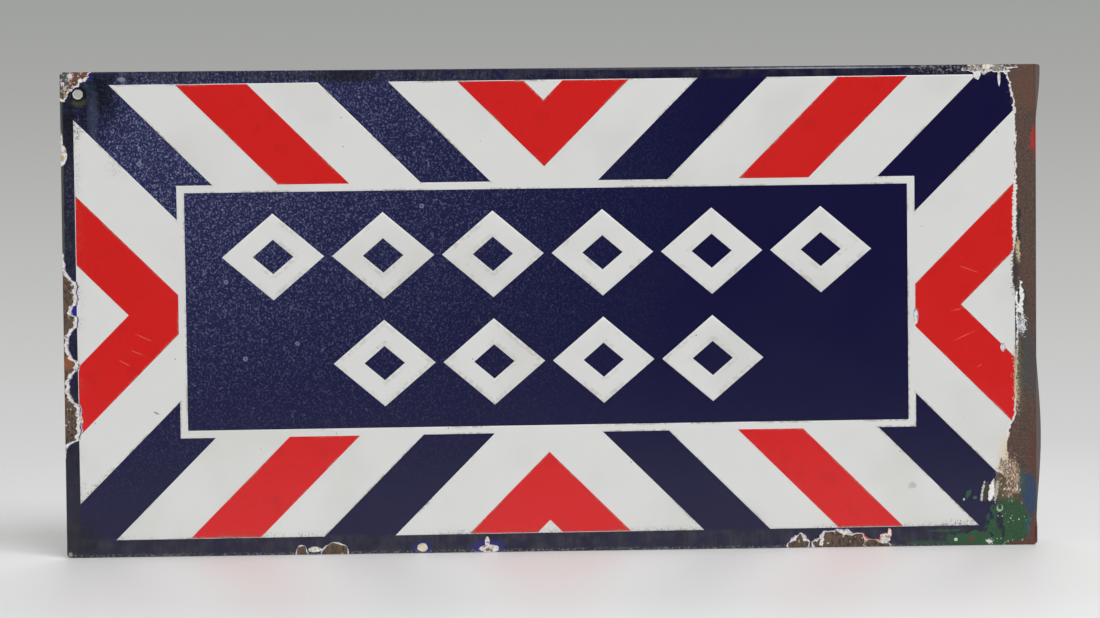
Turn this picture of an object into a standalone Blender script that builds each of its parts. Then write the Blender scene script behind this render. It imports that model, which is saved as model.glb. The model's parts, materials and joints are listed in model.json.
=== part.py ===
"""Flanged enamel sign: one folded steel sheet with raised coats of fused enamel on both faces.

Metres, +Z up. The face stands upright and looks along -Y. The fixing flange is folded back at the
+X end. The origin is the middle of the flange's outer face, where the sign meets its wall.

The sign is drawn flat: the enamel layers are laid on the developed blank, the holes and chips are
cut through them, and the flange is folded last.
"""
import math

import bmesh
import bpy
from mathutils import Matrix, Vector

# Sheet
FACE_WIDTH = 0.614  # from the free edge to the outside of the fold
FACE_HEIGHT = 0.3048  # 12 in
STEEL_THICKNESS = 0.0012
ENAMEL_THICKNESS = 0.0003  # ground coat, on each side
CORNER_RADIUS = 0.0025
EDGE_ROUNDING = 0.0004

# Flange
FLANGE_DEPTH = 0.038  # 1 1/2 in, from the face's front to the free edge
FOLD_INNER_RADIUS = 0.0012
FOLD_ANGLE = math.radians(81)  # sprung open from a right angle
FOLD_STEPS = 6
FLANGE_FOOT = 0.0125  # the flange stops this far above the bottom edge
FLANGE_CORNER_RADIUS = 0.003
SLIT_WIDTH = 0.002  # relief slit under the flange
SCREW_HOLE_DIAMETER = 0.0065
SCREW_HOLE_COUNT = 4
SCREW_HOLE_END_DISTANCE = 0.026

# Knocks that push the flange's free edge outwards: height above the face's middle, half length, push
KNOCKS = (
    (0.150, 0.045, 0.0032),
    (-0.086, 0.070, 0.0034),
)
KNOCK_STEPS = 5

# Stay wire hole
STAY_HOLE_DIAMETER = 0.005
STAY_HOLE_FROM_EDGE = 0.0115
STAY_HOLE_FROM_TOP = 0.0136

# Stencilled pattern
BORDER_LEFT = 0.0085
BORDER_RIGHT = 0.0140
BORDER_TOP = 0.0073
BORDER_BOTTOM = 0.0118
STENCIL_TURN = math.radians(0.3)  # the stencils lie a little crooked on the sheet
STRIPE_FIELD = 0.0635  # 2 1/2 in of stripes on every side of the panel
PANEL_LINE = 0.0047
STRIPE_WIDTH = 0.0441  # measured along the border
CHEVRON_TIP_GAP = 0.0112

# Raised enamel
WHITE_RISE = 0.00035
RED_RISE = 0.00015
COAT_SHOULDER = 0.0002
COAT_FOOT = 0.0003  # how far each coat's solid reaches into what carries it
RED_MARGIN = 0.0004

# Lozenges of the panel
PANEL_MARGIN = 0.0135
PANEL_SIDE_MARGIN = 0.018
ROW_GAP = 0.0133
LOZENGE_WIDTH = 0.064
LOZENGE_GAP = 0.005
LOZENGE_STROKE = 0.0125
LOZENGE_RISE = 0.0007
LOZENGE_SHOULDER = 0.0005

CHIP_POINTS = 22  # round a chip's outline

MERGE = 1e-7
ROUND_SIDES = 20

THICKNESS = STEEL_THICKNESS + 2 * ENAMEL_THICKNESS
LEFT = -FACE_WIDTH / 2
RIGHT = FACE_WIDTH / 2
TOP = FACE_HEIGHT / 2
BOTTOM = -FACE_HEIGHT / 2

# Chips in the front enamel, placed from the nearest edges: centre, half width, half height
CHIPS = (
    (LEFT + 0.005, TOP - 0.0054, 0.0130, 0.0110),
    (LEFT + 0.002, TOP - 0.0514, 0.0035, 0.0100),
    (LEFT + 0.003, TOP - 0.148, 0.0055, 0.0180),
    (LEFT + 0.003, BOTTOM + 0.122, 0.0060, 0.0130),
    (LEFT + 0.004, BOTTOM + 0.088, 0.0080, 0.0140),
    (LEFT + 0.151, BOTTOM + 0.0024, 0.0085, 0.0045),
    (LEFT + 0.170, BOTTOM + 0.0024, 0.0075, 0.0048),
    (LEFT + 0.268, BOTTOM + 0.0034, 0.0070, 0.0050),
    (RIGHT - 0.141, BOTTOM + 0.0034, 0.0200, 0.0060),
    (RIGHT - 0.109, BOTTOM + 0.0034, 0.0170, 0.0075),
    (RIGHT - 0.034, TOP - 0.0054, 0.0140, 0.0095),
)

FOLD_OUTER_RADIUS = FOLD_INNER_RADIUS + THICKNESS
FOLD_MIDDLE_RADIUS = FOLD_INNER_RADIUS + THICKNESS / 2
FOLD_START = RIGHT - FOLD_OUTER_RADIUS
FOLD_LENGTH = FOLD_MIDDLE_RADIUS * FOLD_ANGLE
FLANGE_FLAT = FLANGE_DEPTH - FOLD_OUTER_RADIUS
FLANGE_START = FOLD_START + FOLD_LENGTH
FLANGE_TIP = FLANGE_START + FLANGE_FLAT
FLANGE_BOTTOM = BOTTOM + FLANGE_FOOT
FLANGE_MIDDLE = (FLANGE_BOTTOM + TOP) / 2

PATTERN_WIDTH = FACE_WIDTH - BORDER_LEFT - BORDER_RIGHT
PATTERN_HEIGHT = FACE_HEIGHT - BORDER_TOP - BORDER_BOTTOM
PATTERN_CENTRE = Vector(((BORDER_LEFT - BORDER_RIGHT) / 2, 0, (BORDER_BOTTOM - BORDER_TOP) / 2))
PANEL_WIDTH = PATTERN_WIDTH - 2 * STRIPE_FIELD
PANEL_HEIGHT = PATTERN_HEIGHT - 2 * STRIPE_FIELD
CHEVRON_TIP = PANEL_HEIGHT / 2 + CHEVRON_TIP_GAP

FRONT = -1
BACK = 1


def material(name, colour, roughness=0.25, metallic=0.0):
    """A Principled material of one colour."""
    result = bpy.data.materials.new(name)
    result.use_nodes = True
    shader = result.node_tree.nodes["Principled BSDF"]
    shader.inputs["Base Color"].default_value = (*colour, 1.0)
    shader.inputs["Roughness"].default_value = roughness
    shader.inputs["Metallic"].default_value = metallic
    result.diffuse_color = (*colour, 1.0)
    return result


def new_object(name, bm, finish):
    """Makes an object of one finish from a bmesh."""
    bmesh.ops.recalc_face_normals(bm, faces=bm.faces[:])
    mesh = bpy.data.meshes.new(name)
    bm.to_mesh(mesh)
    bm.free()
    mesh.materials.append(finish)
    obj = bpy.data.objects.new(name, mesh)
    bpy.context.scene.collection.objects.link(obj)
    return obj


def combine(target, tool, operation):
    """Joins the tool to the target, or cuts it out, and removes the tool."""
    boolean = target.modifiers.new("Boolean", "BOOLEAN")
    boolean.object = tool
    boolean.operation = operation
    boolean.solver = "EXACT"
    boolean.material_mode = "TRANSFER"
    depsgraph = bpy.context.evaluated_depsgraph_get()
    result = bpy.data.meshes.new_from_object(target.evaluated_get(depsgraph))
    target.modifiers.remove(boolean)
    target.data = result
    bpy.data.objects.remove(tool)


def cut(bm, faces, point, normal):
    """Cuts a line through the given faces."""
    edges = {edge for face in faces for edge in face.edges}
    verts = {vert for face in faces for vert in face.verts}
    bmesh.ops.bisect_plane(
        bm, geom=[*verts, *edges, *faces], dist=MERGE, plane_co=point, plane_no=normal)


def extrude(bm, depth):
    """Turns flat faces into a solid that reaches depth further along Y."""
    grown = bmesh.ops.extrude_face_region(bm, geom=bm.faces[:])["geom"]
    verts = [item for item in grown if isinstance(item, bmesh.types.BMVert)]
    bmesh.ops.translate(bm, verts=verts, vec=(0, depth, 0))
    return [item for item in grown if isinstance(item, bmesh.types.BMFace)]


def round_rim(bm, faces, width, segments):
    """Bevels the edges where the given flat faces meet the walls."""
    inside = set(faces)
    rim = {edge for face in faces for edge in face.edges
           if not all(other in inside for other in edge.link_faces)}
    bmesh.ops.bevel(
        bm, geom=list(rim), affect="EDGES", offset_type="OFFSET", offset=width,
        segments=segments, profile=0.5, material=-1, clamp_overlap=True)


def arc_corner(corner, before, after, radius, steps=5):
    """Points of a rounded corner between two straight edges that meet at a right angle."""
    if radius == 0:
        return [corner]
    inwards = (before - corner).normalized(), (after - corner).normalized()
    centre = corner + (inwards[0] + inwards[1]) * radius
    points = []
    for step in range(steps + 1):
        angle = math.pi / 2 * step / steps
        points.append(centre - inwards[1] * radius * math.cos(angle) - inwards[0] * radius * math.sin(angle))
    return points


def blank_outline():
    """Corners of the developed blank and their radii, anticlockwise from the lower left."""
    slit_bottom = FLANGE_BOTTOM - SLIT_WIDTH
    corners = (
        (LEFT, BOTTOM, CORNER_RADIUS),
        (RIGHT, BOTTOM, CORNER_RADIUS),
        (RIGHT, slit_bottom, 0),
        (FOLD_START, slit_bottom, 0),
        (FOLD_START, FLANGE_BOTTOM, 0),
        (FLANGE_TIP, FLANGE_BOTTOM, FLANGE_CORNER_RADIUS),
        (FLANGE_TIP, TOP, FLANGE_CORNER_RADIUS),
        (LEFT, TOP, CORNER_RADIUS),
    )
    points = []
    for index, (x, z, radius) in enumerate(corners):
        before = corners[index - 1]
        after = corners[(index + 1) % len(corners)]
        points += arc_corner(
            Vector((x, 0, z)), Vector((before[0], 0, before[1])), Vector((after[0], 0, after[1])), radius)
    return points


def make_blank(finish):
    """The flat sheet with its rounded rim."""
    bm = bmesh.new()
    front = bm.faces.new([bm.verts.new(point + Vector((0, -THICKNESS / 2, 0))) for point in blank_outline()])
    back = extrude(bm, THICKNESS)
    round_rim(bm, [front, *back], EDGE_ROUNDING, 2)
    return new_object("enamelled_sign", bm, finish)


def punch(x, z, diameter, finish):
    """A round cutter through the sheet."""
    bm = bmesh.new()
    bmesh.ops.create_cone(
        bm, cap_ends=True, segments=ROUND_SIDES, radius1=diameter / 2, radius2=diameter / 2,
        depth=4 * THICKNESS, matrix=Matrix.Translation((x, 0, z)) @ Matrix.Rotation(math.pi / 2, 4, "X"))
    return new_object("punch", bm, finish)


def screw_hole_heights():
    """Heights of the flange's screw holes, evenly spaced."""
    low = FLANGE_BOTTOM + SCREW_HOLE_END_DISTANCE
    high = TOP - SCREW_HOLE_END_DISTANCE
    step = (high - low) / (SCREW_HOLE_COUNT - 1)
    return [low + step * index for index in range(SCREW_HOLE_COUNT)]


def stripe_colour(x, z):
    """Colour of the 45 degree stripes, counted outwards from the chevron above the panel."""
    across = abs(z) - abs(x)
    count = math.floor((CHEVRON_TIP + STRIPE_WIDTH - across) / STRIPE_WIDTH)
    return ("red", "white", "navy", "white")[count % 4]


def place(x, z):
    """What the stencil shows at a point: panel, line or the stripe's colour."""
    if abs(x) < PANEL_WIDTH / 2 - PANEL_LINE and abs(z) < PANEL_HEIGHT / 2 - PANEL_LINE:
        return "panel"
    if abs(x) < PANEL_WIDTH / 2 and abs(z) < PANEL_HEIGHT / 2:
        return "line"
    return stripe_colour(x, z)


def stencil(shown, inset):
    """Flat faces of the pattern wherever it shows one of the given colours."""
    bm = bmesh.new()
    reach_x = PATTERN_WIDTH / 2 - inset
    reach_z = PATTERN_HEIGHT / 2 - inset
    corners = ((0, 0), (reach_x, 0), (reach_x, reach_z), (0, reach_z))
    bm.faces.new([bm.verts.new((x, 0, z)) for x, z in corners])
    for line in (0, PANEL_LINE):
        cut(bm, bm.faces[:], (PANEL_WIDTH / 2 - line, 0, 0), (1, 0, 0))
        cut(bm, bm.faces[:], (0, 0, PANEL_HEIGHT / 2 - line), (0, 0, 1))
    across = CHEVRON_TIP + STRIPE_WIDTH
    while across > -PATTERN_WIDTH / 2:
        cut(bm, bm.faces[:], (0, 0, across), (-1, 0, 1))
        across -= STRIPE_WIDTH
    hidden = []
    for face in bm.faces:
        centre = face.calc_center_median()
        if place(centre.x, centre.z) not in shown:
            hidden.append(face)
    bmesh.ops.delete(bm, geom=hidden, context="FACES")
    for axis in ("X", "Z"):
        bmesh.ops.mirror(bm, geom=bm.verts[:] + bm.edges[:] + bm.faces[:], axis=axis, merge_dist=0)
    bmesh.ops.remove_doubles(bm, verts=bm.verts[:], dist=MERGE)
    bmesh.ops.recalc_face_normals(bm, faces=bm.faces[:])
    bmesh.ops.dissolve_limit(
        bm, angle_limit=math.radians(1), use_dissolve_boundaries=False,
        verts=bm.verts[:], edges=bm.edges[:])
    return bm


def lozenge_faces():
    """Open lozenges in two rows, the lower row two shorter."""
    bm = bmesh.new()
    inner_width = PANEL_WIDTH - 2 * PANEL_LINE
    inner_height = PANEL_HEIGHT - 2 * PANEL_LINE
    height = (inner_height - 2 * PANEL_MARGIN - ROW_GAP) / 2
    pitch = LOZENGE_WIDTH + LOZENGE_GAP
    longest = math.floor((inner_width - 2 * PANEL_SIDE_MARGIN + LOZENGE_GAP) / pitch)
    for side, count in ((1, longest), (-1, longest - 2)):
        middle_z = side * (height + ROW_GAP) / 2
        for index in range(count):
            middle_x = (index - (count - 1) / 2) * pitch
            corners = ((-LOZENGE_WIDTH / 2, 0), (0, -height / 2), (LOZENGE_WIDTH / 2, 0), (0, height / 2))
            bm.faces.new([bm.verts.new((middle_x + x, 0, middle_z + z)) for x, z in corners])
    bm.normal_update()
    middles = bm.faces[:]
    bmesh.ops.inset_individual(bm, faces=middles, thickness=LOZENGE_STROKE, use_even_offset=True)
    bmesh.ops.delete(bm, geom=middles, context="FACES_ONLY")
    return bm


def coat(name, bm, level, rise, shoulder, side, finish):
    """Turns stencilled faces into a raised coat on one side of the sheet."""
    bmesh.ops.translate(bm, verts=bm.verts[:], vec=(0, COAT_FOOT - level, 0))
    top = extrude(bm, -COAT_FOOT - rise)
    round_rim(bm, top, shoulder, 1)
    turn = Matrix.Rotation(-STENCIL_TURN, 4, "Y")
    flip = Matrix.Diagonal((1, -side, 1, 1))
    bmesh.ops.transform(bm, verts=bm.verts[:], matrix=flip @ Matrix.Translation(PATTERN_CENTRE) @ turn)
    return new_object(name, bm, finish)


def chip(x, z, half_width, half_height, phase, finish):
    """A cutter with a scalloped outline that takes the enamel off down to the steel."""
    bm = bmesh.new()
    points = []
    for index in range(CHIP_POINTS):
        angle = 2 * math.pi * index / CHIP_POINTS
        reach = 1 + 0.10 * math.sin(3 * angle + phase) + 0.07 * math.sin(7 * angle + 2 * phase)
        points.append((x + half_width * reach * math.cos(angle), z + half_height * reach * math.sin(angle)))
    bm.faces.new([bm.verts.new((px, -STEEL_THICKNESS / 2, pz)) for px, pz in points])
    extrude(bm, -THICKNESS)
    return new_object("chip", bm, finish)


def holes_and_chips(finish):
    """All that is punched through the sheet or chipped off it, as one cutter."""
    cutters = [chip(*size, phase, finish) for phase, size in enumerate(CHIPS)]
    cutters.append(punch(LEFT + STAY_HOLE_FROM_EDGE, TOP - STAY_HOLE_FROM_TOP, STAY_HOLE_DIAMETER, finish))
    for height in screw_hole_heights():
        cutters.append(punch(FLANGE_START + FLANGE_FLAT / 2, height, SCREW_HOLE_DIAMETER, finish))
    for cutter in cutters[1:]:
        combine(cutters[0], cutter, "UNION")
    return cutters[0]


def knock(z):
    """How far the flange's free edge is pushed outwards at a height."""
    push = 0
    for centre, half_length, most in KNOCKS:
        away = abs(z - centre) / half_length
        if away < 1:
            push += most * math.cos(math.pi / 2 * away) ** 2
    return push


def fold_point(point):
    """Carries a point of the developed blank to its place on the folded sign."""
    along = point.x - FOLD_START
    if along <= 0 or point.z < FLANGE_BOTTOM - SLIT_WIDTH / 2:
        return point
    turned = min(along / FOLD_MIDDLE_RADIUS, FOLD_ANGLE)
    outwards = Vector((math.sin(turned), -math.cos(turned), 0))
    onwards = Vector((math.cos(turned), math.sin(turned), 0))
    beyond = max(along - FOLD_LENGTH, 0)
    pushed = knock(point.z) * beyond / FLANGE_FLAT
    centre = Vector((FOLD_START, FOLD_MIDDLE_RADIUS, point.z))
    return centre + outwards * (FOLD_MIDDLE_RADIUS - point.y + pushed) + onwards * beyond


def fold_flange(sign):
    """Cuts the fold and the knocks into narrow strips and bends them to shape."""
    bm = bmesh.new()
    bm.from_mesh(sign.data)
    for step in range(FOLD_STEPS + 1):
        cut(bm, bm.faces[:], (FOLD_START + FOLD_LENGTH * step / FOLD_STEPS, 0, 0), (1, 0, 0))
    for centre, half_length, _ in KNOCKS:
        for step in range(-KNOCK_STEPS, KNOCK_STEPS + 1):
            flange = [face for face in bm.faces if face.calc_center_median().x > FLANGE_START]
            cut(bm, flange, (0, 0, centre + half_length * step / KNOCK_STEPS), (0, 0, 1))
    bmesh.ops.triangulate(bm, faces=bm.faces[:])
    for vert in bm.verts:
        vert.co = fold_point(vert.co.copy())
    mount = fold_point(Vector((FLANGE_START + FLANGE_FLAT / 2, -THICKNESS / 2, FLANGE_MIDDLE)))
    bmesh.ops.translate(bm, verts=bm.verts[:], vec=-mount)
    bmesh.ops.recalc_face_normals(bm, faces=bm.faces[:])
    bm.to_mesh(sign.data)
    bm.free()


def build():
    """Makes the sign."""
    for obj in list(bpy.data.objects):
        bpy.data.objects.remove(obj, do_unlink=True)
    navy = material("navy_enamel", (0.0110, 0.0085, 0.0395))
    white = material("white_enamel", (0.630, 0.645, 0.630), roughness=0.3)
    red = material("red_enamel", (0.610, 0.0160, 0.0140))
    steel = material("bare_rusty_steel", (0.085, 0.050, 0.035), roughness=0.8, metallic=0.3)

    sign = make_blank(navy)
    ground = THICKNESS / 2
    for side in (FRONT, BACK):
        whites = stencil(("white", "red", "line"), 0)
        combine(sign, coat("white_coat", whites, ground, WHITE_RISE, COAT_SHOULDER, side, white), "UNION")
        reds = stencil(("red",), RED_MARGIN)
        combine(sign, coat("red_coat", reds, ground + WHITE_RISE, RED_RISE, COAT_SHOULDER / 2, side, red),
                "UNION")
        lozenges = lozenge_faces()
        combine(sign, coat("lozenges", lozenges, ground, LOZENGE_RISE, LOZENGE_SHOULDER, side, white), "UNION")
    combine(sign, holes_and_chips(steel), "DIFFERENCE")
    fold_flange(sign)


build()
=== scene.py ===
# %% [markdown]
# # Flanged enamel sign
# A real sign of this kind is one sheet of steel with glass fused to both sides. Every colour is a
# powder coat that was brushed off through a stencil and fired, so the later colours stand a little
# above the ground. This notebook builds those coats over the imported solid, breaks the glass where
# the old sign is chipped, and lays later house paint over the fixing end.

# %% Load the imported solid
import json
import math

import bmesh
import bpy
from mathutils import Matrix, Vector

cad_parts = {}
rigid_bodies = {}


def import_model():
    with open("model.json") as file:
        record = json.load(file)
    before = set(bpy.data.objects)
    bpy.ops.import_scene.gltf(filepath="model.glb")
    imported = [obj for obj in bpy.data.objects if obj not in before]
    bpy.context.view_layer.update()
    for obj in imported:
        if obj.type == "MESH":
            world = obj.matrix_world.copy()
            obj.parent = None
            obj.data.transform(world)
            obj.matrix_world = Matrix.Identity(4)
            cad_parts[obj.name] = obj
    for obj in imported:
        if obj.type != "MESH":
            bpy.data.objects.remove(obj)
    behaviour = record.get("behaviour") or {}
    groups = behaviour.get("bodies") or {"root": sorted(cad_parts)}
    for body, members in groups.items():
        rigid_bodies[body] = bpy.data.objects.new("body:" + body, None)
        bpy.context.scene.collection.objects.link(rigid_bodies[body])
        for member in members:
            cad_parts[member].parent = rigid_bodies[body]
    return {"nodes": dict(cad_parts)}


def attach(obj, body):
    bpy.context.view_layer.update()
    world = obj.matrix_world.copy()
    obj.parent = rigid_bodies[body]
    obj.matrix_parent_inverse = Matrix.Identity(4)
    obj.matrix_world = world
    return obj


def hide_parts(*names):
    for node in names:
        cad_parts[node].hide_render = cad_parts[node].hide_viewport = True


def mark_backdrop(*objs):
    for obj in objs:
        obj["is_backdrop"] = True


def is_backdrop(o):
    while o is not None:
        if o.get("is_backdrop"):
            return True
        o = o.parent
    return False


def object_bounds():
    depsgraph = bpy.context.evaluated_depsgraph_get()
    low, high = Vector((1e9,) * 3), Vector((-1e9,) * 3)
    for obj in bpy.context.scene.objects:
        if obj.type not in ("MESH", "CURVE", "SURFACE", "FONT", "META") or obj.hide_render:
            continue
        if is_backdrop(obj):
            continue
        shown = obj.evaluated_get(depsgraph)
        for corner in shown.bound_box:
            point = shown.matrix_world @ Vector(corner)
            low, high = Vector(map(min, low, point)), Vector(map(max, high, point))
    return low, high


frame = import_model()
cad_low, cad_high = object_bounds()
print("nodes", sorted(frame["nodes"]), "box", cad_low, cad_high)

# %% [markdown]
# The sizes come first, in metres, the same as in the solid. The sign is drawn flat and upright with
# its face's middle at zero, and is folded and moved to the solid's place at the end. A flat drawing
# keeps every stencil line straight, which is how the maker worked too.

# %% Sizes of the sheet
FACE_WIDTH = 0.614
FACE_HEIGHT = 0.3048
STEEL = 0.0012
THICKNESS = 0.0018
CORNER_RADIUS = 0.0025
EDGE_ROUNDING = 0.0004
FLANGE_DEPTH = 0.038
FOLD_INNER_RADIUS = 0.0012
FOLD_ANGLE = math.radians(81)
FOLD_STEPS = 12
KNOCK_STEPS = 10
FLANGE_FOOT = 0.0125
FLANGE_CORNER_RADIUS = 0.003
SLIT_WIDTH = 0.002
SCREW_HOLE_DIAMETER = 0.0065
SCREW_HOLE_COUNT = 4
SCREW_HOLE_END_DISTANCE = 0.026
KNOCKS = ((0.150, 0.045, 0.0032), (-0.086, 0.070, 0.0034))
STAY_HOLE = (0.0115, 0.0136, 0.005)

LEFT, RIGHT = -FACE_WIDTH / 2, FACE_WIDTH / 2
BOTTOM, TOP = -FACE_HEIGHT / 2, FACE_HEIGHT / 2
FOLD_START = RIGHT - FOLD_INNER_RADIUS - THICKNESS
FOLD_MIDDLE_RADIUS = FOLD_INNER_RADIUS + THICKNESS / 2
FOLD_LENGTH = FOLD_MIDDLE_RADIUS * FOLD_ANGLE
FLANGE_FLAT = FLANGE_DEPTH - FOLD_INNER_RADIUS - THICKNESS
FLANGE_START = FOLD_START + FOLD_LENGTH
FLANGE_TIP = FLANGE_START + FLANGE_FLAT
FLANGE_BOTTOM = BOTTOM + FLANGE_FOOT
print("flat blank", round(FLANGE_TIP - LEFT, 4), "x", FACE_HEIGHT)

# %% Sizes of the stencils
BORDER_LEFT, BORDER_RIGHT, BORDER_TOP, BORDER_BOTTOM = 0.0085, 0.0140, 0.0073, 0.0118
STENCIL_TURN = math.radians(0.2)
STRIPE_FIELD = 0.0635
PANEL_LINE = 0.0047
STRIPE_WIDTH = 0.0441
CHEVRON_TIP_GAP = 0.0112
STENCIL_SLIPS = {  # how far the edges of the stripes were laid off the rule in each quarter, in mm
    (-1, 1): (5.9, 3.6, 2.4, 2.3, 3.0, 3.6, 0.5, 0.4, 3.2, 2.6),
    (1, 1): (2.9, 0.6, -0.7, -1.0, -0.1, 0.0, -0.6, 1.3, 2.85, 1.5),
    (-1, -1): (0.5, -0.45, 1.9, 2.5, -1.4, -1.4, 0.9, 1.9, 0.4, -0.2),
    (1, -1): (-0.5, -1.45, 0.5, -1.7, -2.2, -4.9, -1.0, 0.2, -1.65, -3.0)}
CHEVRON_TIPS_X = {1: -0.0015, -1: -0.0005}
CHEVRON_TIPS_Z = {-1: -0.0014, 1: -0.00225}
PANEL_MARGIN, PANEL_SIDE_MARGIN, ROW_GAP = 0.0135, 0.018, 0.0133
LOZENGE_WIDTH, LOZENGE_GAP, LOZENGE_STROKE = 0.064, 0.005, 0.0125

PATTERN_WIDTH = FACE_WIDTH - BORDER_LEFT - BORDER_RIGHT
PATTERN_HEIGHT = FACE_HEIGHT - BORDER_TOP - BORDER_BOTTOM
PATTERN_CENTRE = Vector(((BORDER_LEFT - BORDER_RIGHT) / 2, 0, (BORDER_BOTTOM - BORDER_TOP) / 2))
PANEL_WIDTH = PATTERN_WIDTH - 2 * STRIPE_FIELD
PANEL_HEIGHT = PATTERN_HEIGHT - 2 * STRIPE_FIELD
CHEVRON_TIP = PANEL_HEIGHT / 2 + CHEVRON_TIP_GAP
print("pattern", round(PATTERN_WIDTH, 4), "x", round(PATTERN_HEIGHT, 4))

# %% [markdown]
# The flange is bent by a function that carries any point of the flat blank round the fold. The same
# function says where the middle of the flange's outer face ends up, which is the solid's origin.

# %% The fold


def knock(z):
    """How far the flange's free edge is pushed outwards at a height."""
    push = 0
    for centre, half_length, most in KNOCKS:
        away = abs(z - centre) / half_length
        if away < 1:
            push += most * math.cos(math.pi / 2 * away) ** 2
    return push


def fold_point(point):
    """Carries a point of the flat blank to its place on the folded sign."""
    along = point.x - FOLD_START
    if along <= 0 or point.z < FLANGE_BOTTOM - SLIT_WIDTH / 2:
        return point
    turned = min(along / FOLD_MIDDLE_RADIUS, FOLD_ANGLE)
    outwards = Vector((math.sin(turned), -math.cos(turned), 0))
    onwards = Vector((math.cos(turned), math.sin(turned), 0))
    beyond = max(along - FOLD_LENGTH, 0)
    pushed = knock(point.z) * beyond / FLANGE_FLAT
    centre = Vector((FOLD_START, FOLD_MIDDLE_RADIUS, point.z))
    return centre + outwards * (FOLD_MIDDLE_RADIUS - point.y + pushed) + onwards * beyond


MOUNT = fold_point(Vector((FLANGE_START + FLANGE_FLAT / 2, -THICKNESS / 2, (FLANGE_BOTTOM + TOP) / 2)))
FACE_MIDDLE = -MOUNT
print("face's middle", FACE_MIDDLE, "left edge off by", FACE_MIDDLE.x + LEFT - cad_low.x)

# %% [markdown]
# The camera stands where the photographer stood: 2.3 m away, a little to the left and above the
# middle, with a long lens. Its place and angles were worked out from the corners and edges of the
# face.

# %% Camera
PHOTO_WIDTH = 1100
FOCAL_PIXELS = 3648.0
SENSOR_WIDTH = 36
CAMERA_PLACE = Vector((-0.0963, -2.2943, 0.11765))  # from the middle of the face
yaw, pitch, roll = math.radians(2.361), math.radians(-2.912), math.radians(-0.540)
camera_data = bpy.data.cameras.new("camera")
camera = bpy.data.objects.new("camera", camera_data)
bpy.context.scene.collection.objects.link(camera)
camera_data.sensor_width = SENSOR_WIDTH
camera_data.lens = FOCAL_PIXELS * SENSOR_WIDTH / PHOTO_WIDTH
ahead = Vector((math.sin(yaw) * math.cos(pitch), math.cos(yaw) * math.cos(pitch), math.sin(pitch)))
level = Vector((math.cos(yaw), -math.sin(yaw), 0))
upright = level.cross(ahead)
across = level * math.cos(roll) + upright * math.sin(roll)
upwards = -level * math.sin(roll) + upright * math.cos(roll)
turned = Matrix((across, upwards, -ahead)).transposed().to_4x4()
camera.matrix_world = Matrix.Translation(FACE_MIDDLE + CAMERA_PLACE) @ turned
bpy.context.scene.camera = camera
print("lens", round(camera_data.lens, 1), "mm")

# %% [markdown]
# A few small helpers carry all the materials. One turns the hex colour that a screen shows into the
# linear numbers that a shader wants, and one adds a node with its settings and links in one line.

# %% Colour and node helpers


def shade(hex_colour):
    """Linear colour of an sRGB hex value."""
    parts = [int(hex_colour[place:place + 2], 16) / 255 for place in (1, 3, 5)]
    linear = [part / 12.92 if part <= 0.04045 else ((part + 0.055) / 1.055) ** 2.4 for part in parts]
    return (*linear, 1.0)


def connect(node, links):
    """Sets sockets of a node to values, or links them to outputs of other nodes."""
    for key, value in links.items():
        if isinstance(value, bpy.types.NodeSocket):
            node.id_data.links.new(value, node.inputs[key])
        else:
            node.inputs[key].default_value = value


def add(tree, kind, links=None, out=0, **settings):
    """Adds a shader node with its settings and sockets, and returns one of its outputs."""
    node = tree.nodes.new("ShaderNode" + kind)
    for key, value in settings.items():
        setattr(node, key, value)
    connect(node, links or {})
    return node.outputs[out]


def set_stops(ramp, stops):
    """Gives a colour ramp its stops, each a position and a colour."""
    elements = ramp.node.color_ramp.elements
    for index, (position, colour) in enumerate(stops):
        stop = elements[index] if index < 2 else elements.new(position)
        stop.position, stop.color = position, colour


def start_material(name):
    """A new material with a Principled shader, its tree and the shader."""
    made = bpy.data.materials.new(name)
    made.use_nodes = True
    return made, made.node_tree, made.node_tree.nodes["Principled BSDF"]


print("white is", shade("#D2D3D1"))

# %% [markdown]
# All patterns are placed in millimetres from the middle of the face, so a stain is written where a
# ruler would find it. A Mapping node moves and scales the Object coordinates once, and every noise
# texture is scaled by the real size of its grain. Four patterns do all the work: a plain grain,
# blotches of it, a fade along one axis, and a ragged patch.

# %% Shared coordinates and patterns


def face_millimetres(tree):
    """Object coordinates as millimetres from the middle of the face."""
    place = add(tree, "TexCoord", out="Object")
    return add(tree, "Mapping", {
        "Vector": place, "Location": tuple(-1000 * FACE_MIDDLE), "Scale": (1000, 1000, 1000)})


def grain(mm, size, detail=2.0, stretch=(1, 1, 1), shift=0.0):
    """Noise whose grains are about size millimetres across."""
    tree = mm.id_data
    moved = add(tree, "Mapping", {
        "Vector": mm, "Location": (shift, shift, shift),
        "Scale": tuple(1 / (size * each) for each in stretch)})
    return add(tree, "TexNoise", {"Vector": moved, "Scale": 1.0, "Detail": detail})


def blotches(mm, size, low, high, detail=3.0, stretch=(1, 1, 1), shift=0.0):
    """0 where that noise is below low, 1 where it is above high."""
    noise = grain(mm, size, detail, stretch, shift)
    return add(mm.id_data, "MapRange", {
        "Value": noise, "From Min": low, "From Max": high}, interpolation_type="SMOOTHSTEP")


def fade(mm, axis, start, end, kind="EASING"):
    """0 at start and 1 at end along one axis of the face."""
    tree = mm.id_data
    turn = {"X": (0, 0, 0), "Y": (0, 0, -math.pi / 2), "Z": (0, math.pi / 2, 0)}[axis]
    scale = 1 / (end - start)
    moved = add(tree, "Mapping", {
        "Vector": mm, "Location": (-start * scale, 0, 0), "Rotation": turn, "Scale": (scale, scale, scale)})
    return add(tree, "TexGradient", {"Vector": moved}, out="Fac", gradient_type=kind)


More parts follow.
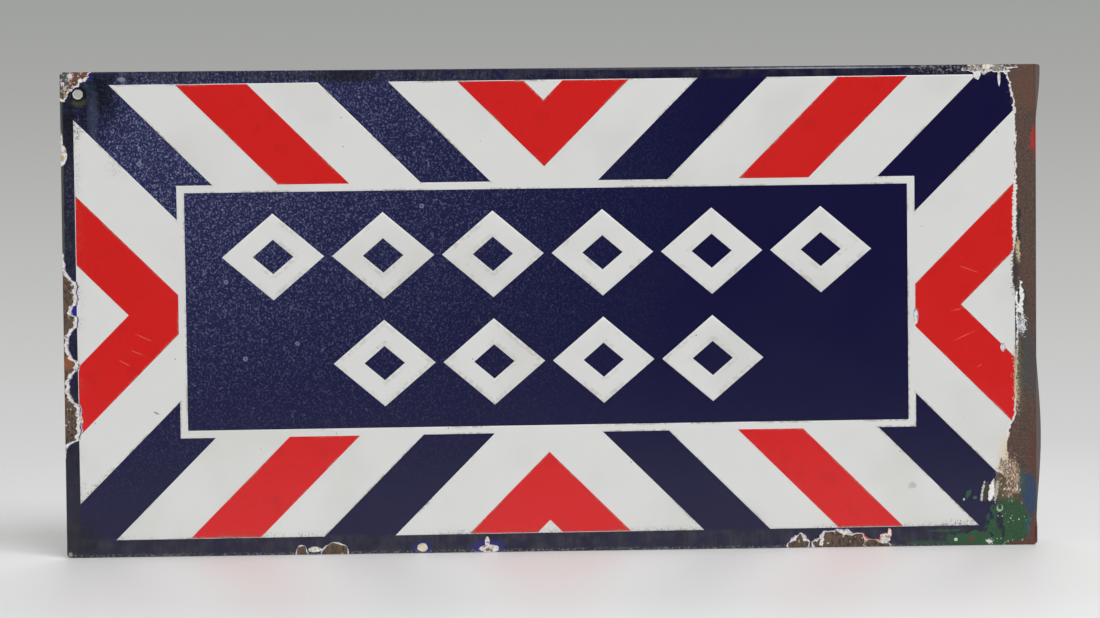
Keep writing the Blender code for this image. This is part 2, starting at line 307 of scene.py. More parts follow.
def patch(mm, rough, middle, half_size, ragged=0.5, soft=0.1, turn=0.0):
    """1 inside an ellipse on the face, whose edge a noise makes ragged."""
    tree = mm.id_data
    local = add(tree, "Mapping", {
        "Vector": mm, "Location": (middle[0], 0, middle[1]), "Rotation": (0, -turn, 0),
        "Scale": (3 * half_size[0], 1e6, 3 * half_size[1])}, vector_type="TEXTURE")
    near = add(tree, "TexGradient", {"Vector": local}, out="Fac", gradient_type="SPHERICAL")
    edge = add(tree, "Math", {0: rough, 1: -2 * ragged / 3, 2: near}, operation="MULTIPLY_ADD")
    return add(tree, "MapRange", {
        "Value": edge, "From Min": (2 - ragged - soft) / 3, "From Max": (2 - ragged + soft) / 3},
        interpolation_type="SMOOTHSTEP")


def layered(tree, colour, coats):
    """Lays coats over a colour. A coat is its colour, the masks that bound it, and how well it hides.

    Coats come from a generator where there are many, so that each mask is made just before it is
    used: a renderer has room for only a few dozen values at once.
    """
    for coat, masks, amount in coats:
        for mask in masks:
            amount = add(tree, "Math", {0: mask, 1: amount}, operation="MULTIPLY")
        laid = shade(coat) if isinstance(coat, str) else coat
        colour = add(tree, "Mix", {0: amount, 6: colour, 7: laid}, out=2, data_type="RGBA")
    return colour


RELIEF = 0.0002  # how deep the bumps of the enamels, the broken glass and the rust are
print("patterns are set in millimetres")

# %% [markdown]
# The fixing end was painted over by hand more than once: brown over the flange and the border, then
# green and blue low down, and the paint has flaked since. House paint hides whatever enamel lies
# below, so one function lays the same coats of paint over each enamel colour. The edge of the brown
# is a ramp over the height that says how far the brush came in, with noise for the torn edge.

# %% Paint over the fixing end
BROWN_REACH = (  # height on the face, and how far the brown comes in from the fold, in mm
    (-152, 9.0), (-126, 9.0), (-118, 10.0), (-105, 13.0), (-99, 17.5), (-91, 19.5), (-79, 17.6),
    (-68, 13.6), (-45, 12.0), (-22, 11.6), (6, 11.8), (14, 15.0), (33, 14.8), (42, 12.6), (67, 12.6),
    (100, 13.2), (128, 13.6), (142, 16.6), (152, 21.0))
WIDEST_BROWN = 25.0
TORN_REACH, FINE_REACH = 3.6, 3.2  # how far the two noises throw the brown's edge, in mm
GREEN = "#214D2F"
BEFORE_BROWN = (  # colour, middle, half size, raggedness, softness, hiding
    ("#DDCDB4", (291.0, -100), (8.5, 19), 0.9, 0.3, 0.9),
    ("#E6E3DE", (293.4, 54), (1.9, 24), 1.3, 0.1, 1.0),
    ("#E3D3B0", (294.0, 28), (1.8, 13), 1.0, 0.15, 0.9),
    ("#DAC49B", (294.8, -50), (2.4, 16), 1.4, 0.2, 0.9))
AFTER_BROWN = (  # the same, and sometimes a turn
    ("#6A4129", (302, 138), (9, 14), 0.7, 0.7, 0.4),
    ("#1E1B1D", (294.6, 48), (1.8, 15), 1.6, 0.15, 0.9),
    ("#E4E1DC", (293.0, 60), (1.1, 20), 1.5, 0.15, 1.0),
    ("#C9B68E", (294.8, 34), (1.5, 7), 1.8, 0.2, 0.9),
    ("#2B2624", (293.0, 22), (1.9, 12), 2.1, 0.15, 0.9),
    ("#2A2C33", (296.8, 3), (2.8, 13), 1.2, 0.25, 0.8),
    ("#ECEAE6", (296.2, 3.5), (2.3, 10), 1.3, 0.12, 1.0),
    ("#1D2027", (295.4, 6), (0.8, 6), 1.4, 0.12, 1.0),
    ("#39403F", (299.0, -34), (4.6, 21), 1.3, 0.5, 0.6),
    ("#DADDE2", (297.4, -13), (2.2, 6), 2.3, 0.15, 0.9),
    ("#BDB08C", (295.4, -42), (2.7, 19), 2.2, 0.15, 0.9),
    ("#2A2523", (296.6, -38), (2.0, 20), 2.2, 0.15, 0.85),
    ("#3C424F", (303.4, -38), (3.6, 22), 0.9, 0.5, 0.35),
    ("#A32022", (306.2, 103.5), (2.9, 8.5), 1.3, 0.25, 0.95),
    ("#5B3226", (304.8, -96), (4.0, 18), 0.9, 0.4, 0.55),
    ("#4A3B2F", (290.5, -121), (10.5, 8.0), 0.8, 0.15, 1.0),
    ("#A98E76", (289.8, -109.5), (6.4, 14.0), 1.2, 0.25, 0.9),
    ("#5C4636", (283.6, -115), (4.2, 8.6), 0.8, 0.12, 1.0),
    ("#C9C9C4", (272.3, -118.4), (1.0, 6.2), 0.9, 0.12, 0.9, -0.18),
    ("#3B3326", (274.2, -118.6), (1.7, 6.4), 0.6, 0.08, 1.0, -0.18),
    ("#EDEBE8", (277.8, -117.6), (2.2, 7.4), 1.2, 0.1, 1.0, -0.18),
    ("#B5AFA0", (280.8, -118.0), (1.1, 7.0), 1.2, 0.15, 0.9, -0.18),
    ("#203D5E", (302.2, -120.8), (5.2, 13.4), 0.9, 0.25, 0.9),
    ("#1D4B4A", (297.4, -112.0), (2.2, 8.4), 1.2, 0.3, 0.8),
    (GREEN, (289.0, -138.5), (13.0, 16.0), 0.7, 0.06, 1.0),
    (GREEN, (268.0, -149.0), (22.0, 3.8), 1.4, 0.06, 1.0),
    (GREEN, (268.0, -146.3), (11.0, 2.6), 1.3, 0.06, 1.0),
    (GREEN, (247.0, -142.8), (9.0, 0.8), 1.4, 0.1, 0.9),
    (GREEN, (240.0, -150.2), (14.0, 1.2), 1.2, 0.15, 0.6),
    (GREEN, (262.8, -119.6), (1.4, 2.9), 0.8, 0.1, 1.0, -0.4),
    ("#4B6350", (267.2, -122.0), (1.3, 1.0), 0.6, 0.2, 0.8),
    ("#1F5463", (302.0, -139.6), (1.9, 4.6), 0.5, 0.15, 1.0),
    ("#5D342B", (305.6, -143.4), (3.0, 10.0), 0.6, 0.12, 1.0),
    ("#5D342B", (298.0, -151.4), (11.0, 1.9), 0.7, 0.15, 1.0),
    ("#5A3730", (264.3, -148.4), (2.4, 2.0), 0.7, 0.2, 0.9),
    ("#17142F", (282.9, -137.0), (2.2, 5.8), 0.45, 0.06, 1.0),
    ("#17142F", (285.2, -144.5), (1.0, 4.0), 0.6, 0.1, 1.0),
    ("#B9C7B4", (282.9, -128.9), (2.0, 2.3), 0.3, 0.2, 0.9),
    (GREEN, (283.0, -128.0), (1.3, 2.0), 0.3, 0.15, 1.0),
    ("#DCDCD6", (260.1, -123.0), (0.6, 0.8), 0.2, 0.2, 0.9),
    ("#E4E4E0", (254.8, -148.6), (1.1, 1.0), 0.2, 0.15, 1.0),
    ("#DADAD4", (276.3, -150.0), (2.2, 1.3), 1.9, 0.15, 0.95))


def brown_edge(mm, torn, fine):
    """How far a point is inside the edge of the brown paint, in mm."""
    tree = mm.id_data
    bottom, top = 1000 * BOTTOM, 1000 * TOP
    reaches = add(tree, "ValToRGB", {0: fade(mm, "Z", bottom, top, "LINEAR")}, out="Alpha")
    set_stops(reaches, [((z - bottom) / (top - bottom), (1, 1, 1, reach / WIDEST_BROWN))
                        for z, reach in BROWN_REACH])
    near, far = 260.0, 310.0
    edge = add(tree, "Math", {0: fade(mm, "X", near, far, "LINEAR"), 1: far - near, 2: near},
               operation="MULTIPLY_ADD")
    for value, reach in ((reaches, WIDEST_BROWN), (torn, TORN_REACH), (fine, FINE_REACH)):
        edge = add(tree, "Math", {0: value, 1: reach, 2: edge}, operation="MULTIPLY_ADD")
    middle_of_noise = (TORN_REACH + FINE_REACH) / 2
    return add(tree, "Math", {0: edge, 1: -1000 * RIGHT - middle_of_noise}, operation="ADD")


def house_paint(mm, enamel, torn, fine):
    """Lays the later paint over an enamel colour. Returns the colour, and where paint lies."""
    tree = mm.id_data
    inside = brown_edge(mm, torn, fine)
    fringe = add(tree, "MapRange", {"Value": inside, "From Min": -1.45, "From Max": -1.15})
    brown = add(tree, "MapRange", {"Value": inside, "From Min": -0.25, "From Max": 0.1})
    smooth_brown = layered(tree, shade("#4A352D"), (
        ("#7A6156", (blotches(mm, 1.0, 0.46, 0.68, 5),), 0.55),
        ("#5F4030", (blotches(mm, 9, 0.5, 0.7, 3, (0.5, 1, 2)),), 0.45),
        ("#2A1E19", (blotches(mm, 1.4, 0.54, 0.68, 5, shift=8),), 0.6)))
    colour = layered(tree, enamel, (("#E4E3E1", (fringe,), 1.0),))
    colour = layered(tree, colour, (
        (tint, (patch(mm, fine, *shape),), hiding) for tint, *shape, hiding in BEFORE_BROWN))
    colour = layered(tree, colour, ((smooth_brown, (brown,), 1.0),))
    cover = brown
    for tint, middle, half_size, ragged, soft, hiding, *turn in AFTER_BROWN:
        rough = fine if ragged > 1.7 or half_size[0] < 1.8 else torn
        here = patch(mm, rough, middle, half_size, ragged, soft, *turn)
        colour = layered(tree, colour, ((tint, (here,), hiding),))
        cover = add(tree, "Math", {0: cover, 1: here}, operation="MAXIMUM")
    flecks = add(tree, "TexVoronoi", {"Vector": mm, "Scale": 0.5}, out="Distance")
    dots = add(tree, "MapRange", {"Value": flecks, "From Min": 0.26, "From Max": 0.16})
    flaked = patch(mm, torn, (289.4, -108.5), (6.6, 13.5), 0.9, 0.25)
    green = patch(mm, torn, (289.0, -138.5), (12.0, 15.0), 0.7, 0.1)
    colour = layered(tree, colour, (
        ("#1B2019", (cover, blotches(mm, 1.5, 0.5, 0.75, 5, shift=17)), 0.3),
        ("#5A4333", (flaked, blotches(mm, 1.5, 0.44, 0.54, 5, (0.55, 1, 1.4), 61)), 0.85),
        ("#E8DFCE", (flaked, blotches(mm, 1.4, 0.56, 0.63, 5, (0.7, 1, 1.2), 73)), 0.85),
        ("#12301C", (green, blotches(mm, 1.3, 0.47, 0.66, 5, (0.6, 1, 1.4), 83)), 0.65),
        ("#4C7A58", (green, blotches(mm, 1.1, 0.58, 0.68, 5, shift=91)), 0.4),
        ("#D5D6CC", (dots, patch(mm, torn, (290, -134.5), (9, 4.2), 1.3, 0.1)), 0.9),
        ("#C9CABF", (dots, patch(mm, torn, (281, -150), (9, 2.4), 0.8, 0.2)), 0.8)))
    return colour, cover


print("brown reaches", BROWN_REACH[9][1], "mm in, a little below mid height")

# %% [markdown]
# Vitreous enamel is glass: smooth, hard, with the index of window glass and a very low roughness.
# Its surface still has a faint waviness from the firing, called orange peel, which a weak bump
# gives. Old enamel loses its polish slowly, so the roughness wanders a little. Dirt and painted
# shade darken the steps of the stencilled coats, which carry an attribute that marks their rims.

# %% Enamel
FROST_GRAIN = 1.2  # a little coarser than the real specks, so that they show in a picture
SOOT, COBALT = "#101015", "#26259A"
STAINS_AND_RIM_HIGHLIGHTS = (  # colour, middle, half size, hiding
    ("#191B33", (-286, 132), (18, 22), 0.7), (SOOT, (-282, 139), (8, 12), 0.72),
    (SOOT, (-291, 122), (3.4, 13), 0.6), ("#56627C", (-286.8, 126), (3.2, 16), 0.25),
    (SOOT, (-301, 118), (4.5, 17), 0.6), (SOOT, (-298, -141), (11, 12), 0.5),
    ("#15151A", (-128, 149), (17, 5), 0.6),
    ("#45462F", (-295.3, 133.6), (4.4, 2.4), 0.85), ("#1C3B30", (-290.6, 141.5), (2.4, 3.0), 0.6),
    ("#9BA1B8", (-268.5, 147.5), (2.6, 1.4), 0.55), ("#2B2A8C", (-287.4, 149.4), (0.9, 3.2), 0.5),
    # The two pale grey lines along the very top edge are painted highlights of the rounded rim.
    ("#A4A6AE", (170, 151.1), (62, 0.5), 0.75), ("#55565C", (50, 151.5), (58, 0.6), 0.6),
    # The grey line at -306.3 down the left edge is a painted highlight of the rounded rim.
    ("#5A5A50", (-306.3, 60), (0.9, 90), 0.7), ("#A9AC98", (-304.8, -150.3), (1.2, 1.4), 0.7),
    (COBALT, (-299.0, 3.4), (2.6, 3.0), 0.9), (COBALT, (-297.6, 11.5), (0.9, 5.0), 0.8),
    (COBALT, (-297.8, 32.0), (0.9, 7.0), 0.6), (COBALT, (-83.7, -148.8), (5.0, 3.8), 0.5),
    (COBALT, (-42.0, -149.2), (8.4, 4.2), 0.5))
RINGS = ((-258.3, 94.6), (-193.5, -28.2), (-160.7, -19.1), (-81.8, 66.6), (-232.0, 77.0), (-205, 20))
SMUDGES = (  # colour, middle, half size, raggedness, softness, slope, whether it is broken up, hiding
    ("#8B8A88", (227, -113.4), (2.2, 1.9), 1.2, 0.5, 0, False, 0.45),
    ("#3D3A36", (-296, 118), (4.5, 7), 1.5, 0.15, 0, True, 0.8),
    ("#6E675A", (-271, 92), (7, 6), 1.4, 0.4, 0, True, 0.3),
    ("#55504A", (262, -138.5), (17, 2.4), 1.3, 0.3, 0, True, 0.8),
    ("#7A7468", (-286.5, -106.5), (15, 2.2), 0.9, 0.5, 45, True, 0.8),
    ("#77726C", (-249.8, -61.7), (1.7, 0.5), 0.5, 0.4, -25, False, 0.8))
SCRATCHES = (  # middle, half length, slope in degrees
    ((263.1, 23.3), 5.5, -20), ((260.8, -18.9), 6.5, 24), ((255.6, -2.5), 3.3, 12), ((270.3, -38), 2.2, 31),
    ((-260.9, -23.8), 3.8, -22), ((-268.9, -30.2), 3.2, -30), ((-257, -14.2), 4.7, -25))


def navy_veils(mm, torn, worn):
    """Frost, smoke and stains of the navy ground, and painted highlights along its top and left rims."""
    tree = mm.id_data
    frost = add(tree, "Math", {
        0: fade(mm, "X", 130, -300), 1: fade(mm, "Z", -150, 150)}, operation="MULTIPLY")
    yield "#4C5280", (frost,), 0.26 if worn else 0.12
    yield "#A3ABCB", (frost, blotches(mm, FROST_GRAIN, 0.49, 0.72, 3, shift=3)), 0.52 if worn else 0.25
    yield "#C2C8DC", (frost, blotches(mm, 2.4, 0.64, 0.74, 3, shift=12)), 0.4 if worn else 0.1
    dusty = blotches(mm, 9, 0.35, 0.7, 4, shift=2)
    sooty = blotches(mm, 5, 0.45, 0.65, 4, (0.4, 1, 3), 21)
    for axis, start, end in (("X", -297, -301), ("X", 296, 300), ("Z", 144, 147), ("Z", -139, -142)):
        border = fade(mm, axis, start, end)
        yield "#1C1C30", (border,), 0.35
        yield "#4B4B48", (border, dusty), 0.35
        yield "#15151C", (border, sooty), 0.55
    if worn:
        yield "#22212C", (fade(mm, "X", -297.5, -299.5),), 0.55
        # Stains, and the painted highlights of the rounded rim.
        for tint, middle, half_size, hiding in STAINS_AND_RIM_HIGHLIGHTS:
            yield tint, (patch(mm, torn, middle, half_size, 0.7, 0.5),), hiding
        for middle in RINGS:
            yield "#9BA1C0", (patch(mm, torn, middle, (1.3, 1.3), 0.5, 0.4),), 0.6
            yield "#1E1D4A", (patch(mm, torn, middle, (0.7, 0.7), 0.3, 0.4),), 0.8
        scuffs = blotches(mm, 1.2, 0.5, 0.6, 4)
        yield "#9B968D", (patch(mm, torn, (245, 150), (19, 3), 0.9, 0.3), scuffs), 0.5
        yield "#8C8C84", (fade(mm, "Z", -149.8, -151.6), scuffs), 0.55


def field_dirt_and_shade(mm, worn):
    """Soot specks, and dirt and painted shade along the steps of the raised fields."""
    tree = mm.id_data
    strength = 1 if worn else 0.4
    soot = add(tree, "TexVoronoi", {"Vector": mm, "Scale": 0.09}, out="Distance")
    dots = add(tree, "MapRange", {"Value": soot, "From Min": 0.05, "From Max": 0.03})
    yield "#4A4440", (dots, blotches(mm, 3.4, 0.5, 0.56, 4)), 0.8 * strength
    crumbs = blotches(mm, 1.0, 0.46, 0.68, 3, shift=6)
    step = add(tree, "Attribute", out="Fac", attribute_name="rim")
    dirt_and_shade_patches = blotches(mm, 30, 0.45, 0.6, 2, shift=15)
    # The rims of the raised coats are darkened: dirt gathered at the step, and painted shade along the
    # rounded shoulder.
    yield "#948C7C", (step, blotches(mm, 2.2, 0.35, 0.65, 3, shift=9), dirt_and_shade_patches), 0.75 * strength
    gathered = blotches(mm, 42, 0.4, 0.58, 2, shift=33)
    yield "#6B665A", (fade(mm, "Z", -136, -141.5), crumbs, gathered), 0.85 * strength
    mottled = blotches(mm, 20, 0.45, 0.6, 2)
    yield "#7A6F5E", (fade(mm, "X", -291, -298.5), crumbs, mottled), 0.4 * strength
    if worn:
        rough = grain(mm, 2.4, 4, shift=5)
        for tint, middle, half_size, ragged, soft, slope, broken, hiding in SMUDGES:
            smudge = patch(mm, rough, middle, half_size, ragged, soft, math.radians(slope))
            yield tint, (smudge, crumbs) if broken else (smudge,), hiding
        for middle, half_length, slope in SCRATCHES:
            line = patch(mm, rough, middle, (half_length, 0.3), 0.9, 0.6, math.radians(slope))
            yield "#EBA7A2", (line,), 0.22


def enamel(name, hex_colour, kind, worn):
    """A fired enamel of one colour. Worn enamel has the wear of the front, other that of the back."""
    made, tree, shader = start_material(name)
    mm = face_millimetres(tree)
    torn = grain(mm, 3.4, 5)
    fine = grain(mm, 1.15, 4, shift=31)
    broad = grain(mm, 60, 2, shift=7)
    colour = shade(hex_colour)
    if kind == "white":
        colour = layered(tree, colour, (
            ("#C6C5BF", (blotches(mm, 60, 0.45, 0.75, 2, shift=7),), 0.4),
            ("#C3BEB2", (blotches(mm, 1.15, 0.64, 0.8, 4, shift=31),), 0.25)))
    if kind == "red":
        colour = layered(tree, colour, (
            ("#D51C20", (fade(mm, "Z", 40, -150),), 0.8),
            ("#D8504E", (blotches(mm, 0.9, 0.64, 0.8, 3, (0.5, 1, 9), 11),), 0.3),
            ("#A91A1C", (blotches(mm, 14, 0.55, 0.75, 3, shift=4),), 0.25)))
    wear = navy_veils(mm, torn, worn) if kind == "navy" else field_dirt_and_shade(mm, worn)
    colour = layered(tree, colour, wear)
    if worn:
        hole = 1000 * (LEFT + STAY_HOLE[0]), 1000 * (TOP - STAY_HOLE[1])
        bared = hole[0] - 0.35, hole[1] - 0.4
        colour = layered(tree, colour, (
            ("#141318", (patch(mm, torn, hole, (5.0, 4.6), 0.3, 0.2),), 0.85),
            ("#CFCABD", (patch(mm, fine, bared, (3.1, 3.0), 0.15, 0.12),), 1.0)))
        colour, paint = house_paint(mm, colour, torn, fine)
    else:
        sideways = fade(mm, "X", 290, 310, "LINEAR")
        torn_edge = add(tree, "Math", {0: torn, 1: 0.15, 2: sideways}, operation="MULTIPLY_ADD")
        paint = add(tree, "MapRange", {"Value": torn_edge, "From Min": 0.7, "From Max": 0.72})
        colour = layered(tree, colour, (("#4E3A32", (paint,), 1.0),))
    gloss = add(tree, "MapRange", {"Value": broad, "To Min": 0.17, "To Max": 0.30})
    polish = add(tree, "Mix", {0: paint, 2: gloss, 3: 0.62})
    crust = add(tree, "Math", {0: fade(mm, "X", 288, 297), 1: fine}, operation="MULTIPLY")
    peel = grain(mm, 5.5, 1, shift=19)
    relief = add(tree, "Math", {0: crust, 1: 2.2, 2: peel}, operation="MULTIPLY_ADD")
    bump = add(tree, "Bump", {"Height": relief, "Strength": 0.25, "Distance": RELIEF})
    connect(shader, {"Base Color": colour, "Roughness": polish, "Normal": bump, "IOR": 1.5})
    return made


KINDS = (("navy", "#12113A"), ("white", "#DBDCDA"), ("red", "#CE1D1B"))
NAVY, WHITE, RED = (enamel(kind + "_fired_enamel", tone, kind, True) for kind, tone in KINDS)
NAVY_BACK, WHITE_BACK, RED_BACK = (
    enamel(kind + "_fired_enamel_sheltered", tone, kind, False) for kind, tone in KINDS)
print("enamels", NAVY.name, WHITE.name, RED.name)

# %% [markdown]
# Where a knock broke the glass, two things show. The slope of the break goes through the coats:
# thin navy looks cobalt over the white below it, then comes the white, then a stain from the rust.
# So its colour follows the depth. The floor is bare steel that has rusted, in browns by noise.
# Round the rim of the sheet the enamel is thin and burnt, because it runs off a sharp edge.

# %% Broken enamel, rusty steel and the burnt rim
SURFACE = -1000 * THICKNESS / 2
STEEL_SURFACE = -1000 * STEEL / 2
RUST_STAINS = (  # colour, middle, half size, raggedness, hiding
    ("#733F2A", (-296, 148), (8, 6), 0.9, 0.8), ("#45484A", (-305.4, 149), (4.2, 6.0), 0.7, 0.95),
    ("#A9532B", (-291.4, 144.8), (1.6, 1.9), 0.4, 1.0), ("#17130F", (-294.6, 143.4), (2.4, 1.6), 0.5, 0.95),
    ("#DAD2D8", (-300.8, 150.0), (1.6, 1.6), 0.8, 0.9), ("#DAD2D8", (-305.2, 144.4), (1.0, 2.0), 0.6, 0.95),
    ("#B9A66B", (-303.6, 138.4), (1.3, 1.6), 0.8, 0.8), ("#8B4F2B", (-304.4, -29.5), (2.6, 4.4), 0.8, 0.9),
    ("#8F8984", (276, 149), (16, 4), 1.4, 0.9), ("#E2DDCB", (275.7, 151.2), (2.8, 1.6), 0.5, 1.0))


def broken_enamel():
    """The slope round a chip, through the coats of glass."""
    made, tree, shader = start_material("broken_enamel")
    mm = face_millimetres(tree)
    rough = grain(mm, 1.2, 4)
    thin_navy = (fade(mm, "Y", SURFACE + 0.09, SURFACE + 0.05), fade(mm, "Y", SURFACE - 0.03, SURFACE))
    colour = layered(tree, shade("#E5E2DE"), (
        ("#B4AFAC", (blotches(mm, 1.3, 0.48, 0.66, 4),), 0.75),
        ("#C9C2D6", (blotches(mm, 3.5, 0.52, 0.7, 2, shift=4),), 0.35),
        ("#2A2890", (*thin_navy, blotches(mm, 6, 0.38, 0.5, 2, shift=8)), 0.95),
        ("#A3957A", (blotches(mm, 1.8, 0.52, 0.66, 4, shift=14),), 0.6),
        ("#6B5440", (blotches(mm, 2.2, 0.57, 0.68, 4, shift=9),), 0.75),
        ("#C7221F", (patch(mm, grain(mm, 2.0, 4), (206, -142), (12, 8), 0.8, 0.3),
                     fade(mm, "Y", SURFACE + 0.2, SURFACE + 0.1)), 0.95),
        ("#A8925A", (patch(mm, rough, (-306, 98.6), (1.4, 1.9), 0.6, 0.3),), 0.8),
        ("#D8CBA4", (patch(mm, rough, (-83.7, -149.2), (3.6, 3.0), 0.4, 0.4),), 0.8),
        ("#6B4A2A", (patch(mm, rough, (-42.4, -150.8), (1.7, 1.0), 0.8, 0.3),), 0.9),
        ("#6B5443", (fade(mm, "Y", STEEL_SURFACE - 0.03, STEEL_SURFACE),), 0.4)))
    bump = add(tree, "Bump", {"Height": grain(mm, 0.8, 3), "Strength": 0.6, "Distance": RELIEF})
    connect(shader, {"Base Color": colour, "Roughness": 0.4, "Normal": bump})
    return made


def rusty_steel():
    """Steel that was bared by a chip and has rusted."""
    made, tree, shader = start_material("rusty_steel")
    mm = face_millimetres(tree)
    fine = grain(mm, 1.15, 4, shift=31)
    colour = layered(tree, shade("#54443A"), (
        ("#75624F", (blotches(mm, 1.1, 0.45, 0.72, 5, (0.6, 1, 3.0)),), 0.65),
        ("#7E4A2E", (blotches(mm, 3.2, 0.56, 0.7, 3, shift=6),), 0.5),
        ("#231D1A", (blotches(mm, 1.7, 0.5, 0.64, 5, (0.7, 1, 1.8), 13),), 0.8),
        ("#C9C0BA", (blotches(mm, 2.6, 0.64, 0.69, 4, shift=23),), 0.8)))
    colour = layered(tree, colour, (
        (tint, (patch(mm, fine, middle, half_size, ragged, 0.15),), hiding)
        for tint, middle, half_size, ragged, hiding in RUST_STAINS))
    for middle, half_size, pale in (((275, 148), (17, 6), 0.85), ((-299, 145), (12, 10), 0.55)):
        broken_up = patch(mm, fine, middle, half_size, 0.9, 0.2)
        colour = layered(tree, colour, (
            ("#D9D6D2", (broken_up, blotches(mm, 1.5, 0.5, 0.6, 5, shift=41)), pale),
            ("#352E2A", (broken_up, blotches(mm, 1.9, 0.52, 0.62, 4, (0.6, 1, 1.6), 51)), 0.8)))
    streaks = grain(mm, 1.1, 5, (0.6, 1, 3.0))
    bump = add(tree, "Bump", {"Height": streaks, "Strength": 0.8, "Distance": RELIEF})
    connect(shader, {"Base Color": colour, "Roughness": 0.85, "Normal": bump})
    return made


def burnt_rim():
    """The edge of the sheet, where the enamel is thin, dark and rusty in places."""
    made, tree, shader = start_material("burnt_rim")
    mm = face_millimetres(tree)
    colour = layered(tree, shade("#25262B"), (
        ("#6E6F68", (blotches(mm, 14, 0.5, 0.65, 5),), 0.6),
        ("#5B3F2E", (blotches(mm, 7, 0.52, 0.62, 4, shift=5),), 0.8),
        ("#4E3A32", (fade(mm, "X", 299, 301),), 1.0)))
    bump = add(tree, "Bump", {"Height": grain(mm, 1.2, 3), "Strength": 0.4, "Distance": RELIEF})
    connect(shader, {"Base Color": colour, "Roughness": 0.5, "Normal": bump})
    return made


BROKEN = broken_enamel()
RUST = rusty_steel()
RIM = burnt_rim()
print("chips show", BROKEN.name, "and", RUST.name)

# %% [markdown]
# Every raised coat has the same section: a short wall, then a shoulder that rounds off because the
# glass pulls itself smooth in the kiln. Insetting the top face in a few steps, each rising less
# than the one before, draws that section, and a last flat step keeps the shading of the face calm.

# %% Modelling helpers
SUPPORT = 0.0010
EDGE_STEPS = 3


def lay_out(bm, verts, width, height, middle=(0, 0, 0), turn=math.pi / 2):
    """Gives a flat shape of unit size its width and height, turns it upright and moves it."""
    bmesh.ops.scale(bm, verts=verts, vec=(width, height, 1))
    bmesh.ops.rotate(bm, verts=verts, matrix=Matrix.Rotation(turn, 3, "X"))
    bmesh.ops.translate(bm, verts=verts, vec=middle)


def cut(bm, faces, point, normal):
    """Cuts a line through the given faces."""
    edges = {edge for face in faces for edge in face.edges}
    verts = {vert for face in faces for vert in face.verts}
    bmesh.ops.bisect_plane(
        bm, geom=[*verts, *edges, *faces], dist=1e-7, plane_co=point, plane_no=normal)


def extrude(bm, faces, depth):
    """Moves a copy of flat faces along Y, joined to them by walls. Returns the copy."""
    grown = bmesh.ops.extrude_face_region(bm, geom=faces)["geom"]
    verts = [item for item in grown if isinstance(item, bmesh.types.BMVert)]
    bmesh.ops.translate(bm, verts=verts, vec=(0, depth, 0))
    return [item for item in grown if isinstance(item, bmesh.types.BMFace)]


def pillow(bm, top, steps):
    """Rounds off a raised top: each step is how far inwards and how far up."""
    for inwards, upwards_step in (*steps, (SUPPORT, 0)):
        bmesh.ops.inset_region(
            bm, faces=top, thickness=inwards, depth=upwards_step, use_even_offset=True, use_boundary=True)


def round_steps(radius, count):
    """Steps of a quarter circle for pillow."""
    angles = [math.pi / 2 * step / count for step in range(count + 1)]
    return [(radius * (math.cos(low) - math.cos(high)), radius * (math.sin(high) - math.sin(low)))
            for low, high in zip(angles, angles[1:])]


def new_piece(name, bm, materials):
    """Makes an object of a bmesh, with outward faces."""
    bmesh.ops.recalc_face_normals(bm, faces=bm.faces[:])
    mesh = bpy.data.meshes.new(name)
    bm.to_mesh(mesh)
    bm.free()
    for each in materials:
        mesh.materials.append(each)
    piece = bpy.data.objects.new(name, mesh)
    bpy.context.scene.collection.objects.link(piece)
    return piece


def combine(target, tool, operation):
    """Joins the tool to the target, or cuts it out. The cut faces keep the tool's materials."""
    boolean = target.modifiers.new("Boolean", "BOOLEAN")
    boolean.object = tool
    boolean.operation = operation
    boolean.solver = "EXACT"
    boolean.material_mode = "TRANSFER"
    graph = bpy.context.evaluated_depsgraph_get()
    result = bpy.data.meshes.new_from_object(target.evaluated_get(graph))
    target.modifiers.remove(boolean)
    target.data = result


print("shoulder of the edge", round_steps(EDGE_ROUNDING, EDGE_STEPS))

# %% [markdown]
# The sheet starts as one flat rectangle. Two cuts free the flange from the foot of the face, the
# strip between them is taken out, and the corners are rounded by bevelling single corner points.
# Only then does it get its thickness, so the rounding is the same through the sheet.

# %% The flat blank


